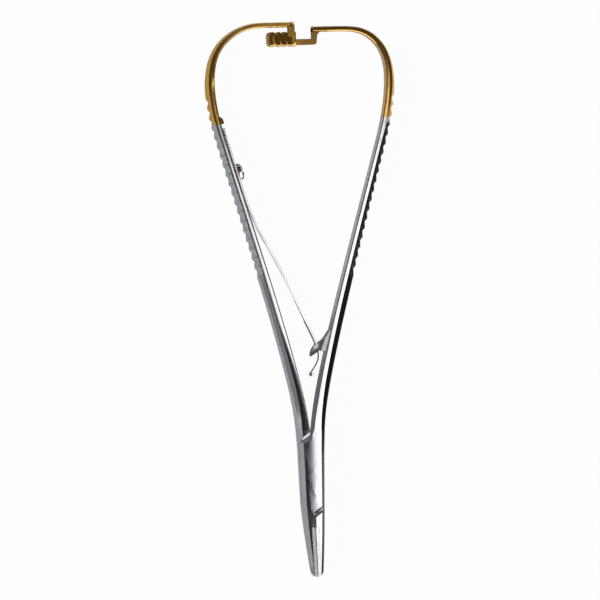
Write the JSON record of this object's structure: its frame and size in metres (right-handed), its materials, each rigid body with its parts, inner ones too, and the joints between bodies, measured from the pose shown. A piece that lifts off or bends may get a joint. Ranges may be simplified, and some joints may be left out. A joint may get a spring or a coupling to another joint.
{
  "type": "surgical needle holder",
  "caption": "Needle holder with two bowed, ridged handle arms, a box joint, narrow jaws with hard inserts, a leaf spring and a rear ratchet catch, shown closed.",
  "frame": {"origin": "on the joint pin's axis, in the plane of the flat back of the box joint that the instrument lies on", "axes": "+Y from the pin towards the handle ends, +Z along the pin out of the front of the instrument, +X towards the arm that carries the ratchet"},
  "size_m": [0.0592, 0.1704, 0.007],
  "materials": {
    "polished_steel": "polished, gold plated at the handle end",
    "satin_steel": "polished, gold plated at the handle end",
    "pin_steel": "ground flush with the box",
    "hard_metal": "fine cross-cut bite face",
    "spring_steel": "polished",
    "screw_steel": "polished dome"
  },
  "bodies": {
    "box_half": {"box_arm": "polished_steel", "joint_pin": "pin_steel", "box_insert": "hard_metal"},
    "tongue_half": {"tongue_arm": "satin_steel", "tongue_insert": "hard_metal", "leaf_spring": "spring_steel", "spring_screw": "screw_steel"}
  },
  "joints": [
    {"name": "jaw_hinge", "type": "hinge", "parent": "box_half", "child": "tongue_half", "pos_m": [0, 0, 0.0034], "axis": [0, 0, 1], "range_deg": [0, 16], "deforming": ["leaf_spring"]}
  ]
}
